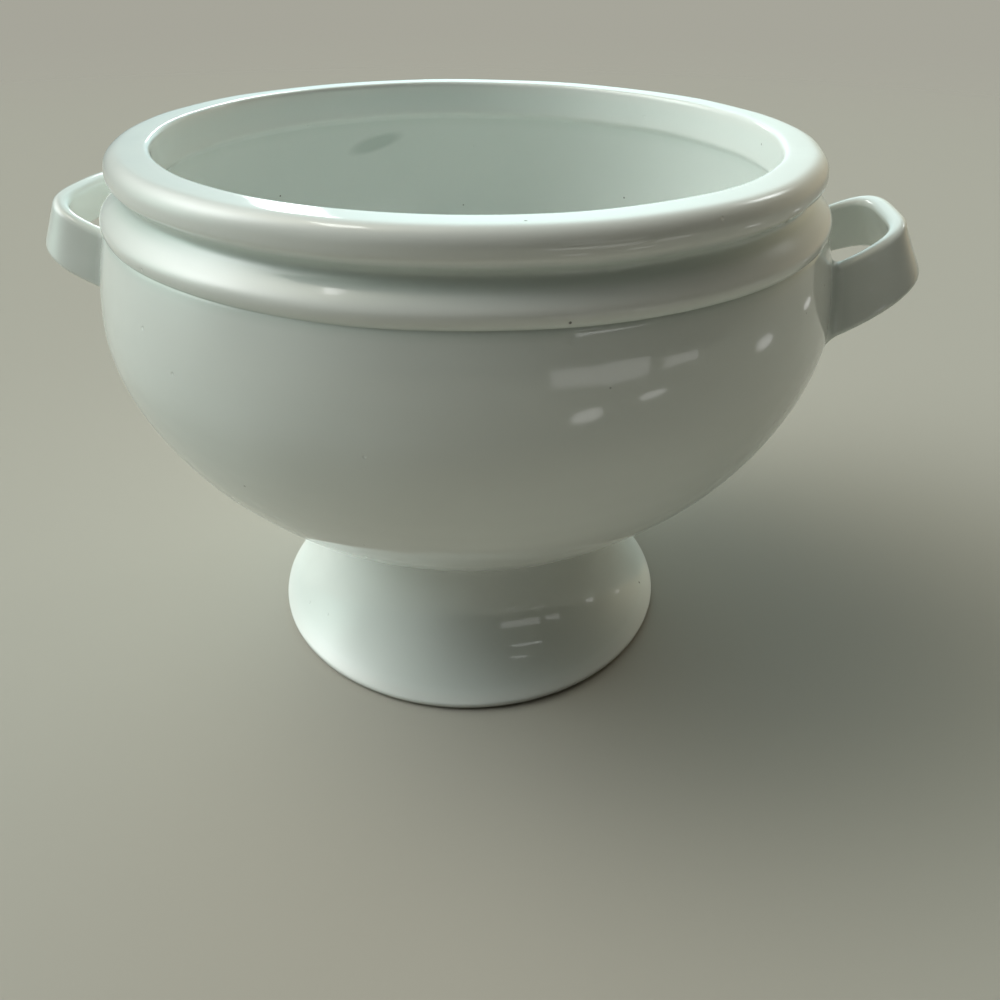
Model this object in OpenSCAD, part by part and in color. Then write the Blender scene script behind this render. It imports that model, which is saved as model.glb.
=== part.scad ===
// Footed onion soup crock in white glazed stoneware: a wide bowl with a heavy rolled rim and a moulded
// shoulder, a hollow trumpet foot, and two flat strap handles luted to the belly with slip.
// Millimetres. The foot stands on Z = 0, the crock's axis is Z and the handles lie along X.

/* [Rim] */
// Outer diameter of the rolled rim
rim_d = 130; // [122:0.5:136]
// Width of the flat land on top of the rim, from the mouth to the outer edge
rim_land = 7.8; // [6.5:0.1:9]
// Height of the rolled rim, from its top to the start of the groove below it
rim_h = 3.9; // [3.4:0.1:5]
// Radius of the rim's outer top edge
rim_round = 2.9; // [1.5:0.1:3.4]
// Radius of the rim's inner top edge
mouth_round = 1; // [0.6:0.1:1.8]

/* [Mouldings] */
// Depth of the groove under the rim, measured in from the rim's face
groove_depth = 2.3; // [1.2:0.1:3]
// Height from the groove's deepest line up to the rim's lower edge
groove_h = 2.9; // [2:0.1:3.6]
// Height from the shoulder roll's widest line up to the groove's deepest line
shoulder_h = 4.6; // [3.5:0.1:5.5]
// How far the shoulder roll stands out past the rim's face
shoulder_out = 1.8; // [0.8:0.1:2.6]
// Height of the shoulder roll's lower half, from its widest line down to the crease
tuck_h = 1.8; // [1.2:0.1:2.4]
// How far the belly's top edge lies in from the shoulder roll's widest line
crease_in = 0.45; // [0.2:0.05:1]
// Depth of the crease between the shoulder roll and the belly
crease_depth = 0.35; // [0.2:0.05:0.6]

/* [Bowl] */
// Overall height of the crock
crock_h = 102.8; // [98:0.2:110]
// Largest diameter of the belly
belly_d = 137.4; // [132:0.2:142]
// Height of the belly's widest line above the table
belly_z = 73; // [70:0.1:76]
// How far below its widest line the belly's curve would close, were there no foot
belly_depth = 55.4; // [53:0.2:58]
// Fullness of the belly's lower curve: 2 is an ellipse, less is leaner
belly_power = 1.72; // [1.65:0.01:1.85]
// How far above its widest line the belly's curve would close, were there no shoulder
belly_rise = 64; // [56:0.5:80]
// Thickness of the wall at the belly
wall = 5.2; // [4.5:0.1:6]
// Thickness of the floor over the foot
floor_t = 6; // [4.5:0.1:8]
// Fullness of the bowl's inner curve
inner_power = 2.1; // [2:0.05:2.25]
// Height of the straight band inside the mouth, under the rim
mouth_band = 7.3; // [6:0.1:8.5]
// How far the inner wall steps outwards under the band
band_step = 1.4; // [0.6:0.1:1.8]
// Height of the step under the band
band_step_h = 2.2; // [1.6:0.1:3]

/* [Foot] */
// Height of the foot, from the table to the bowl's seat
foot_h = 25.6; // [24:0.1:27.5]
// Largest diameter of the foot, just above the table
foot_d = 82.8; // [78:0.2:88]
// Thickness of the foot's wall at the neck
foot_wall = 5.6; // [4.5:0.1:7]
// Height of the rounded toe at the foot's outer edge
toe_h = 1.4; // [1:0.1:2]
// How far the toe's rounding tucks in under the foot's largest diameter
toe_tuck = 1.1; // [0.8:0.1:1.6]
// Width of the flat bare ring that the crock stands on
ring_w = 3.2; // [2.4:0.1:4]
// How far the trumpet has turned outwards where it meets the toe, in degrees
flare_turn = 62; // [50:1:70]
// Thickness of the foot's flat top, between the hollow and the bowl's seat
roof_t = 3.4; // [2.6:0.1:4.5]
// Size of the slip ring that fills the corner between the bowl and the neck
neck_slip = 3; // [2:0.1:4]

/* [Right handle] */
// How far the right strap's top edge stands out past the belly
right_reach = 11.4; // [9:0.1:14]
// Half the right handle's span, to the middle of the strap
right_span = 14.6; // [12:0.1:17]
// Height of the right strap's top edge over the belly's widest line, where the bow starts
right_rise = 8.7; // [6:0.1:10]
// Height of the right strap
right_strap_h = 12.3; // [10:0.1:14]
// How far the right strap's lower edge flares out past its top edge
right_flare = 4.2; // [2:0.1:5]
// How steeply the right handle rises outwards, in degrees
right_tilt = 29; // [22:0.5:34]

/* [Left handle] */
// How far the left strap's top edge stands out past the belly
left_reach = 10.6; // [8.5:0.1:14]
// Half the left handle's span, to the middle of the strap
left_span = 16.6; // [13:0.1:18]
// Height of the left strap's top edge over the belly's widest line, where the bow starts
left_rise = 11.1; // [8:0.1:12]
// Height of the left strap
left_strap_h = 10.4; // [9:0.1:12]
// How far the left strap's lower edge flares out past its top edge
left_flare = 2.9; // [1:0.1:5]
// How steeply the left handle rises outwards, in degrees
left_tilt = 22; // [16:0.5:28]

/* [Straps] */
// Thickness of both straps
strap_t = 2.9; // [2.4:0.1:3.6]
// Radius of the straps' long edges
strap_round = 1.2; // [0.6:0.1:1.2]
// Squareness of the handles' bow in plan: 2 is an ellipse, more is squarer
bow_power = 3.5; // [3:0.1:5]
// Size of the slip fillets round the straps' ends
root_slip = 1.6; // [0.8:0.1:2.2]
// Thickness that a slip fillet feathers out to along the strap
slip_edge = 0.25; // [0.15:0.05:0.4]

/* [Hidden] */

glaze = [0.9, 0.93, 0.89];
slip = [0.86, 0.89, 0.85];

$fn = 256;
// How many points each kind of curve gets
belly_steps = 26;
moulding_steps = 8;
round_steps = 5;
foot_steps = 12;
bow_steps = 34;
edge_steps = 4;
slip_steps = 7;
// How far the neck's slip ring hollows in towards its corner
slip_hollow_share = 0.3;

rim_r = rim_d / 2;
belly_r = belly_d / 2;
foot_r = foot_d / 2;
mouth_r = rim_r - rim_land;
rim_z = crock_h - rim_h;
groove_r = rim_r - groove_depth;
groove_z = rim_z - groove_h;
shoulder_r = rim_r + shoulder_out;
shoulder_z = groove_z - shoulder_h;
crease_z = shoulder_z - tuck_h;
crease_turn = asin((crease_z - belly_z) / belly_rise);
seat_turn = asin(pow((belly_z - foot_h) / belly_depth, belly_power / 2));
neck_r = belly_point(seat_turn)[0];
belly_top_r = shoulder_r - crease_in;
crease_r = belly_top_r - crease_depth;
inner_r = belly_r - wall;
inner_z = foot_h + floor_t;
band_z = crock_h - mouth_band;
step_r = mouth_r + band_step;
step_z = band_z - band_step_h;

// A point on the belly's outline, turned from its widest line down towards the foot, or up if negative.
// The upper curve ends at the belly's top edge, under the shoulder roll.
function belly_point(turn) =
    turn < 0
    ? [
        belly_r + (belly_top_r - belly_r) * (1 - cos(turn)) / (1 - cos(crease_turn)),
        belly_z - belly_rise * sin(turn),
    ]
    : [
        belly_r * pow(cos(turn), 2 / belly_power),
        belly_z - belly_depth * pow(sin(turn), 2 / belly_power),
    ];

// A soft step from one place to another that starts and ends upright
function swell(from, to, steps) = [
    for (i = [1:steps])
        let (share = i / steps)
        [
            from[0] + (to[0] - from[0]) * (1 - cos(180 * share)) / 2,
            from[1] + (to[1] - from[1]) * share,
        ]
];

// An arc of an ellipse round a centre, between two angles
function arc(centre, radii, start, end, steps) = [
    for (i = [0:steps])
        let (turn = start + (end - start) * i / steps)
        [centre[0] + radii[0] * cos(turn), centre[1] + radii[1] * sin(turn)]
];

function belly(start, end, steps) = [
    for (i = [0:steps]) belly_point(start + (end - start) * i / steps)
];

right_bow = wall + right_reach - strap_t / 2;
left_bow = wall + left_reach - strap_t / 2;
right_z = belly_z + right_rise;
left_z = belly_z + left_rise;

// The bowl's outside from the foot's seat up to the top of the rim
outside = concat(
    belly(seat_turn, -crease_turn, belly_steps),
    arc([crease_r, shoulder_z], [shoulder_r - crease_r, tuck_h], -90, 0, round_steps),
    swell([shoulder_r, shoulder_z], [groove_r, groove_z], moulding_steps),
    swell([groove_r, groove_z], [rim_r, rim_z], moulding_steps),
    arc([rim_r - rim_round, crock_h - rim_round], [rim_round, rim_round], 0, 90, round_steps)
);

// How far out along X the bowl's outside lies, at a place across and a height
wall_line = [for (p = outside) [p[1], p[0]]];
function wall_x(across, height) = sqrt(pow(lookup(height, wall_line), 2) - pow(across, 2));

// The bowl's inside from the mouth down to the middle of the floor
inside = concat(
    arc([mouth_r + mouth_round, crock_h - mouth_round], [mouth_round, mouth_round], 90, 180, round_steps),
    [[mouth_r, band_z]],
    swell([mouth_r, band_z], [step_r, step_z], moulding_steps),
    [
        for (i = [1:moulding_steps])
            let (turn = 90 * i / moulding_steps)
            [
                step_r + (inner_r - step_r) * sin(turn),
                step_z + (belly_z - step_z) * i / moulding_steps,
            ]
    ],
    [
        for (i = [1:belly_steps])
            let (turn = 90 * i / belly_steps)
            [
                i < belly_steps ? inner_r * pow(cos(turn), 2 / inner_power) : 0,
                belly_z - (belly_z - inner_z) * pow(sin(turn), 2 / inner_power),
            ]
    ]
);

// The foot's outside from the seat down to the toe: an arc that starts upright and turns outwards
flare_w = (foot_r - neck_r) / (1 - cos(flare_turn));
flare_h = (foot_h - toe_h) / sin(flare_turn);
function trumpet(turn) = [
    neck_r + flare_w * (1 - cos(turn)),
    foot_h - flare_h * sin(turn),
];
trumpet_side = [for (i = [0:foot_steps]) trumpet(flare_turn * i / foot_steps)];
toe_r = foot_r - toe_tuck;
hollow_r = toe_r - ring_w;
hollow_top_r = neck_r - foot_wall;
hollow_h = foot_h - roof_t;
toe = arc([toe_r, toe_h], [toe_tuck, toe_h], -90 / round_steps, -90, round_steps - 1);
hollow_side = [
    for (i = [0:foot_steps])
        let (turn = flare_turn * (1 - i / foot_steps))
        [
            hollow_top_r + (hollow_r - hollow_top_r) * (1 - cos(turn)) / (1 - cos(flare_turn)),
            hollow_h * (1 - sin(turn) / sin(flare_turn)),
        ]
];

// The slip ring's edges: one up the bowl's underside, one down the trumpet
slip_top = belly_point(acos(pow((neck_r + neck_slip) / belly_r, belly_power / 2)));
slip_foot = trumpet(asin(neck_slip / flare_h));

// The bowl's outline filled in, mouth and all, which trims whatever is luted to its outside
module bowl_fill() {
    polygon(concat([[0, foot_h]], outside, [[0, crock_h]]));
}

// The foot's outline filled in, hollow and all
module foot_fill() {
    polygon(concat([[0, foot_h]], trumpet_side, toe, [[0, 0]]));
}

module bowl_body() {
    color(glaze)
        rotate_extrude()
            polygon(concat([[0, foot_h]], outside, inside));
}

module pedestal_foot() {
    color(glaze)
        rotate_extrude()
            polygon(concat([[0, foot_h]], trumpet_side, toe, hollow_side, [[0, hollow_h]]));
}

module neck_luting() {
    color(slip)
        rotate_extrude()
            difference() {
                polygon(concat(
                    [[neck_r - neck_slip, foot_h]],
                    [
                        for (i = [0:slip_steps])
                            let (share = i / slip_steps)
                            [
                                slip_top[0] + (slip_foot[0] - slip_top[0]) * share
                                    - neck_slip * slip_hollow_share * sin(180 * share),
                                slip_top[1] + (slip_foot[1] - slip_top[1]) * share,
                            ]
                    ]
                ));
                bowl_fill();
                foot_fill();
            }
}

module bowl_block() {
    rotate_extrude()
        bowl_fill();
}

// A handle's bow in plan: each entry is a place on the strap's middle line and its outward direction
function bow_entry(turn, reach, span) =
    let (
        across = pow(abs(cos(turn)), 2 / bow_power),
        along = pow(sin(turn), 2 / bow_power),
        lean_x = pow(along, bow_power - 1) / reach,
        lean_y = pow(across, bow_power - 1) / span,
        size = norm([lean_x, lean_y]),
        side = turn > 90 ? -1 : 1
    )
    [inner_r + reach * along, side * span * across, lean_x / size, side * lean_y / size];

function bow(reach, span) = concat(
    [[inner_r - wall, span, 0, 1]],
    [
        for (i = [0:2 * bow_steps])
            let (
                half = i / bow_steps,
                turn = half <= 1 ? 45 * (1 - cos(180 * half)) : 180 - 45 * (1 - cos(180 * (2 - half)))
            )
            bow_entry(turn, reach, span)
    ],
    [[inner_r - wall, -span, 0, -1]]
);

// The strap's section with rounded edges: how far out from its middle, and how far below its top edge
function strap_section(height, grow) =
    let (
        half = strap_t / 2 + grow,
        round = strap_round + grow,
        corners = [
            [half - round, round - grow, 0],
            [half - round, height + grow - round, 90],
            [round - half, height + grow - round, 180],
            [round - half, round - grow, 270],
        ]
    )
    [
        for (c = corners, i = [0:edge_steps])
            let (turn = c[2] + 90 * i / edge_steps)
            [c[0] + round * sin(turn), c[1] - round * cos(turn)]
    ];

// One section set square to the bow, leaning with the flare and lifted by the handle's tilt
function place_section(entry, section, side, top_z, height, flare, tilt) = [
    for (p = section)
        let (
            out = p[0] + flare * p[1] / height,
            x = entry[0] + entry[2] * out,
            y = entry[1] + entry[3] * out
        )
        [side * x, y, top_z - p[1] + (x - inner_r) * tan(tilt)]
];

// The faces between two rings of points, the same way round as the rings
function skin(first, second, count) = [
    for (i = [0:count - 1])
        let (next = (i + 1) % count)
        each [
            [first + i, first + next, second + next],
            [first + i, second + next, second + i],
        ]
];

function flipped(faces, flip) = flip ? [for (f = faces) [f[2], f[1], f[0]]] : faces;

module strap(side, reach, span, top_z, height, flare, tilt) {
    way = bow(reach, span);
    section = strap_section(height, 0);
    count = len(section);
    last = (len(way) - 1) * count;
    points = [for (w = way) each place_section(w, section, side, top_z, height, flare, tilt)];
    faces = concat(
        [for (k = [0:len(way) - 2]) each skin(k * count, (k + 1) * count, count)],
        [for (i = [1:count - 2]) [0, i + 1, i]],
        [for (i = [1:count - 2]) [last, last + i, last + i + 1]]
    );
    polyhedron(points, flipped(faces, side < 0));
}

// Thickness of the slip at a distance out from the wall, feathered out from halfway into its corner
function slip_grow(out) =
    let (
        start = -root_slip / 2,
        gone = min(1, max(0, (out - start) / (root_slip - start)))
    )
    slip_edge + (root_slip - slip_edge) * pow(1 - gone, 2);

// A sleeve of slip round one end of a strap: thick at the wall and feathered out along the strap
module sleeve(side, front, reach, span, top_z, height, flare, tilt) {
    whole = bow(reach, span);
    tip_x = wall_x(span, belly_z) + root_slip;
    near_half = [for (i = [0:bow_steps]) if (whole[i][0] < tip_x) whole[i]];
    way = front ? [for (w = near_half) [w[0], -w[1], w[2], -w[3]]] : near_half;
    inner = strap_section(height, 0);
    outward = strap_section(height, 1) - inner;
    count = len(inner);
    points = concat(
        [for (w = way) each place_section(w, inner, side, top_z, height, flare, tilt)],
        [
            for (w = way)
                let (
                    lift = (w[0] - inner_r) * tan(tilt),
                    grown = [
                        for (i = [0:count - 1])
                            inner[i] + outward[i] * slip_grow(w[0] - wall_x(span, top_z - inner[i][1] + lift))
                    ]
                )
                each place_section(w, grown, side, top_z, height, flare, tilt)
        ]
    );
    rings = len(way);
    outer = rings * count;
    // The faces against the strap have the strap's own diagonals, so that the two meet face to face
    faces = concat(
        [for (k = [0:rings - 2]) each skin(outer + k * count, outer + (k + 1) * count, count)],
        [
            for (k = [0:rings - 2])
                each (
                    front
                    ? skin((k + 1) * count, k * count, count)
                    : flipped(skin(k * count, (k + 1) * count, count), true)
                )
        ],
        skin(0, outer, count),
        skin(outer + (rings - 1) * count, (rings - 1) * count, count)
    );
    polyhedron(points, flipped(faces, (side < 0) != front));
}

module right_strap() {
    strap(1, right_bow, right_span, right_z, right_strap_h, right_flare, right_tilt);
}

module left_strap() {
    strap(-1, left_bow, left_span, left_z, left_strap_h, left_flare, left_tilt);
}

module right_handle() {
    color(glaze)
        difference() {
            right_strap();
            bowl_block();
        }
}

module left_handle() {
    color(glaze)
        difference() {
            left_strap();
            bowl_block();
        }
}

module right_slip(front) {
    color(slip)
        difference() {
            sleeve(1, front, right_bow, right_span, right_z, right_strap_h, right_flare, right_tilt);
            bowl_block();
        }
}

module left_slip(front) {
    color(slip)
        difference() {
            sleeve(-1, front, left_bow, left_span, left_z, left_strap_h, left_flare, left_tilt);
            bowl_block();
        }
}

module right_handle_slip_front() {
    right_slip(true);
}

module right_handle_slip_back() {
    right_slip(false);
}

module left_handle_slip_front() {
    left_slip(true);
}

module left_handle_slip_back() {
    left_slip(false);
}

bowl_body();
pedestal_foot();
neck_luting();
right_handle();
right_handle_slip_front();
right_handle_slip_back();
left_handle();
left_handle_slip_front();
left_handle_slip_back();
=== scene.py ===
"""Looks of a footed onion soup crock in white glazed stoneware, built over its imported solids.

Metres. The crock stands on Z = 0, its axis is Z and its two handles lie along X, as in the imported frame.
Every clay part is a smooth surface worked out from the same formulas as the solid that it stands for.
"""

import logging
import math
from collections.abc import Sequence
from dataclasses import dataclass, replace
from enum import Enum
from typing import Any

import bpy
import numpy as np
from mathutils import Matrix, Vector

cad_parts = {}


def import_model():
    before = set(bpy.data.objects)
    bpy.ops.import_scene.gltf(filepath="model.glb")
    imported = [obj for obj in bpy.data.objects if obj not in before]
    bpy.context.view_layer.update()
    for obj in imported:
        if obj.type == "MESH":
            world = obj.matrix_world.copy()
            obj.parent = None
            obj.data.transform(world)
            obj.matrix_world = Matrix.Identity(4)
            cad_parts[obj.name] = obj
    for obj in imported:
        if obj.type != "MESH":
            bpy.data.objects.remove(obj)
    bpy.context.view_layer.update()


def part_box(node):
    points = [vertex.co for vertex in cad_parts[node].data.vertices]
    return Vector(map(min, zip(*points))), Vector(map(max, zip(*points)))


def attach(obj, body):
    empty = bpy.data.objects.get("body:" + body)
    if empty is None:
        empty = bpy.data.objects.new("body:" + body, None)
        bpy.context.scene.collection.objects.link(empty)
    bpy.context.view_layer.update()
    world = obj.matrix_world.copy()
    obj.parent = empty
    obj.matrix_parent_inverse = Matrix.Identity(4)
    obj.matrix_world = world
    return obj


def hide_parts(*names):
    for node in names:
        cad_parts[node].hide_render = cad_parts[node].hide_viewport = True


LOG = logging.getLogger("crock")
POOL = "glaze_pool"
BODY = "root"
MIX_SHARE, MIX_FIRST, MIX_SECOND, MIX_RESULT = 0, 6, 7, 2  # sockets of a Mix node that mixes colours
SUNK = 0.00004  # how far a slip fillet's edge lies under the clay, so that no gap shows
TINY = 1e-9  # keeps a division from meeting zero


class Side(Enum):
    """Which side of the crock a handle is on, as the sign of X."""

    RIGHT = 1
    LEFT = -1


class End(Enum):
    """Which end of a strap is meant, as the sign of Y."""

    FRONT = -1
    BACK = 1


@dataclass(frozen=True)
class Surface:
    """A closed surface on a grid of rings, each of them a closed loop of points.

    Attributes:
        points: Places in metres, shaped (rings, around, 3).
        pool: How the glaze lies at each point, from -1, drawn thin, to 1, pooled, shaped (rings, around).
        hoop: True where the last ring joins the first, as on a torus. Otherwise each end is closed by
            a pole in the middle of its ring.
    """

    points: np.ndarray
    pool: np.ndarray
    hoop: bool = False

    def _faces(self) -> tuple[np.ndarray, np.ndarray]:
        """Lists the surface's faces by the numbers of their points.

        Returns:
            The quads between neighbouring rings, and the triangles round the two poles.
        """
        rings, around = self.points.shape[:2]
        index = np.arange(rings * around).reshape(rings, around)
        beside = np.roll(index, -1, axis=1)
        after, after_beside = np.roll(index, -1, axis=0), np.roll(beside, -1, axis=0)
        quads = np.stack([index, beside, after_beside, after], axis=-1)
        if self.hoop:
            return quads.reshape(-1, 4), np.empty((0, 3), int)
        start = np.full(around, rings * around)
        fans = [
            np.stack([beside[0], index[0], start], axis=-1),
            np.stack([index[-1], beside[-1], start + 1], axis=-1),
        ]
        return quads[:-1].reshape(-1, 4), np.concatenate(fans)

    def to_object(self, name: str) -> bpy.types.Object:
        """Puts the surface into a smooth mesh whose faces point outwards.

        The sum of each face's corner times the cross product of its sides is six times the enclosed
        volume, so a negative sum means that the faces point inwards, and they are turned round.

        Args:
            name: The new object's name.

        Returns:
            The object, linked to the scene, at the origin.
        """
        places, pools = self.points.reshape(-1, 3), self.pool.reshape(-1)
        if not self.hoop:
            places = np.concatenate([places, self.points[[0, -1]].mean(axis=1)])
            pools = np.concatenate([pools, self.pool[[0, -1]].mean(axis=1)])
        quads, fans = self._faces()
        triangles = np.concatenate([quads[:, [0, 1, 2]], quads[:, [0, 2, 3]], fans])
        a, b, c = (places[triangles[:, k]] for k in range(3))
        if np.einsum("ij,ij->i", a, np.cross(b, c)).sum() < 0:
            quads, fans = quads[:, ::-1], fans[:, ::-1]
        mesh = bpy.data.meshes.new(name)
        mesh.from_pydata(places.tolist(), [], quads.tolist() + fans.tolist())
        mesh.polygons.foreach_set("use_smooth", np.ones(len(mesh.polygons), bool))
        layer = mesh.attributes.new(POOL, "FLOAT", "POINT")
        layer.data.foreach_set("value", pools.astype(np.float32))
        mesh.update()
        piece = bpy.data.objects.new(name, mesh)
        bpy.context.scene.collection.objects.link(piece)
        LOG.info("%s: %d triangles", name, len(triangles))
        return piece


@dataclass(frozen=True)
class Unevenness:
    """The slight unevenness that a hand-finished pot keeps, as one small shift of the space it stands in.

    Every clay part is shifted by the same field, so parts that touch still touch.

    Attributes:
        inward: The most that a place is shifted towards the axis, in metres.
        down: The most that a place is shifted down.
        oval: How much smaller the radius is along X than along Y.
        short: Shortest distance between two swells.
        long: Longest distance between two swells.
        waves: How many plane waves are added up.
        seed: Starts the random choice of the waves.
        still_h: Height over the table below which the shift fades out.
        still_r: Distance from the axis at which it has faded to a half.
    """

    inward: float = 0.00016
    down: float = 0.00012
    oval: float = 0.00010
    short: float = 0.014
    long: float = 0.040
    waves: int = 28
    seed: int = 7
    still_h: float = 0.002
    still_r: float = 0.01

    def shifted(self, points: np.ndarray) -> np.ndarray:
        """Shifts places by the field.

        Each wave is cos(k . p + phase), with a random direction and a length between short and long.
        Their mean gives the shift inwards and the mean of the matching sines gives the shift down, both
        from 0 to the most. They fade out towards the axis and the table.

        Args:
            points: Places, shaped (..., 3).

        Returns:
            The shifted places.
        """
        chance = np.random.default_rng(self.seed)
        heading = chance.normal(size=(self.waves, 3))
        heading /= np.linalg.norm(heading, axis=1, keepdims=True)
        length = chance.uniform(self.short, self.long, self.waves)
        phase = chance.uniform(0, 2 * math.pi, self.waves)
        turns = points @ (heading / length[:, None]).T * 2 * math.pi + phase
        most = math.sqrt(self.waves) * 2
        sums = (wave(turns).sum(axis=-1) / most for wave in (np.cos, np.sin))
        inward, down = (0.5 - np.clip(total, -0.5, 0.5) for total in sums)
        radius = np.maximum(np.hypot(points[..., 0], points[..., 1]), TINY)
        oval = self.oval * (points[..., 0] / radius) ** 2
        standing = np.clip(points[..., 2] / self.still_h, 0, 1)
        towards = (self.inward * inward + oval) * standing / (radius + self.still_r)
        moved = points.copy()
        moved[..., :2] *= (1 - towards)[..., None]
        moved[..., 2] -= self.down * down * standing * np.clip(radius / (2 * self.still_r), 0, 1)
        return moved


@dataclass(frozen=True)
class Outline:
    """A pot's outline in the (radius, height) plane, which is turned round the axis.

    Attributes:
        points: The outline's points, from the axis round the clay and back to the axis.
        blur: How far melted glaze rounds the outline's corners.
        pool_reach: How far a hollow draws glaze in from.
        pool_r: Radius of a hollow that is tight enough to fill with glaze.
        trace_step: Step between the points at which the outline is traced before rings are chosen.
        flat_step: Longest step between two rings on a flat stretch.
        turn_step: Most that the outline turns between two rings, in radians.
        spokes: How many points go round each ring.
    """

    points: np.ndarray
    blur: float = 0.00032
    pool_reach: float = 0.0011
    pool_r: float = 0.0032
    trace_step: float = 0.00005
    flat_step: float = 0.0014
    turn_step: float = 0.115
    spokes: int = 320

    @staticmethod
    def _bell(values: np.ndarray, width: float) -> np.ndarray:
        """Bell-weighted mean of neighbours along the first axis, width in steps."""
        reach = int(math.ceil(width * 4))
        weights = np.exp(-0.5 * (np.arange(-reach, reach + 1) / width) ** 2)
        weights /= weights.sum()
        return np.stack([np.convolve(column, weights, "same") for column in values.T], axis=-1)

    def _rounded(self) -> tuple[np.ndarray, float]:
        """Lays the outline out at even steps and rounds its corners as melted glaze does.

        Past either end the outline is carried on as its own mirror image across the axis, (-r, z), so
        that it still meets the axis square.

        Returns:
            The rounded points, and the step between them.
        """
        sides = np.linalg.norm(np.diff(self.points, axis=0), axis=1)
        along = np.concatenate([[0], np.cumsum(sides)])
        count = int(along[-1] / self.trace_step)
        step = along[-1] / count
        even = np.linspace(0, along[-1], count + 1)
        line = np.stack([np.interp(even, along, self.points[:, k]) for k in range(2)], axis=-1)
        mirror = line[::-1] * np.array([-1, 1])
        smooth = self._bell(np.concatenate([mirror[:-1], line, mirror[1:]]), self.blur / step)
        return smooth[count : 2 * count + 1], step

    def turned(self) -> Surface:
        """Turns the outline round the axis.

        A point of the outline at radius r and height z goes to (r cos a, r sin a, z) for each angle a.
        Rings lie closer where the outline turns fast: the number of rings up to a point is the sum of
        1 / flat_step + |curvature| / turn_step along the way. Where the outline is hollow, its
        curvature averaged over pool_reach, times pool_r, says how far the glaze has pooled there.

        Returns:
            The surface, closed at both poles.
        """
        line, step = self._rounded()
        tangent = np.gradient(line, step, axis=0)
        heading = np.unwrap(np.arctan2(tangent[:, 1], tangent[:, 0]))
        bend = np.gradient(heading, step)
        area = (line[:-1, 0] * line[1:, 1] - line[1:, 0] * line[:-1, 1]).sum()
        way = 1.0 if area > 0 else -1.0
        pooled = -way * self._bell(bend[:, None], self.pool_reach / step)[:, 0] * self.pool_r
        rank = np.cumsum(1 / self.flat_step + np.abs(bend) / self.turn_step) * step
        chosen = np.interp(np.linspace(rank[0], rank[-1], int(rank[-1])), rank, np.arange(len(line)))
        chosen = chosen[1:-1]
        steps = np.arange(len(line))
        radius, height = (np.interp(chosen, steps, line[:, k]) for k in range(2))
        pool = np.interp(chosen, steps, np.clip(pooled, -1, 1))
        angle = np.linspace(0, 2 * math.pi, self.spokes, endpoint=False)
        across = np.stack([np.cos(angle), np.sin(angle)], axis=-1)
        shape = (len(chosen), self.spokes)
        level = np.broadcast_to(height[:, None, None], (*shape, 1))
        points = np.concatenate([radius[:, None, None] * across, level], axis=-1)
        return Surface(points, np.broadcast_to(pool[:, None], shape).copy())


def arc(centre: Sequence[float], radii: Sequence[float], start: float, end: float, steps: int) -> np.ndarray:
    """Points on an ellipse: centre + (a cos t, b sin t), for t from start to end in degrees."""
    turn = np.radians(np.linspace(start, end, steps + 1))
    return np.stack([centre[0] + radii[0] * np.cos(turn), centre[1] + radii[1] * np.sin(turn)], axis=-1)


def swell(start: Sequence[float], end: Sequence[float], steps: int) -> np.ndarray:
    """A soft step: height goes evenly and radius by (1 - cos(180 s)) / 2, so that both ends are upright."""
    share = np.linspace(0, 1, steps + 1)[1:]
    ease = (1 - np.cos(math.pi * share)) / 2
    return np.stack([start[0] + (end[0] - start[0]) * ease, start[1] + (end[1] - start[1]) * share], axis=-1)


def pooled_face(share: np.ndarray, shape: tuple[int, int], most: float) -> np.ndarray:
    """How glaze lies on a fillet: most * sin(180 s)^2 across its face, and even elsewhere.

    Args:
        share: Where each ring of the face lies across it, from 0 to 1. The face starts at the second ring.
        shape: How many rings the fillet has, and how many points go round each.
        most: How far the glaze has pooled in the middle of the face.

    Returns:
        The glaze at each point, in the given shape.
    """
    pool = np.zeros(shape)
    pool[1 : 1 + len(share)] = most * (np.sin(math.pi * share) ** 2)[:, None]
    return pool


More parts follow.
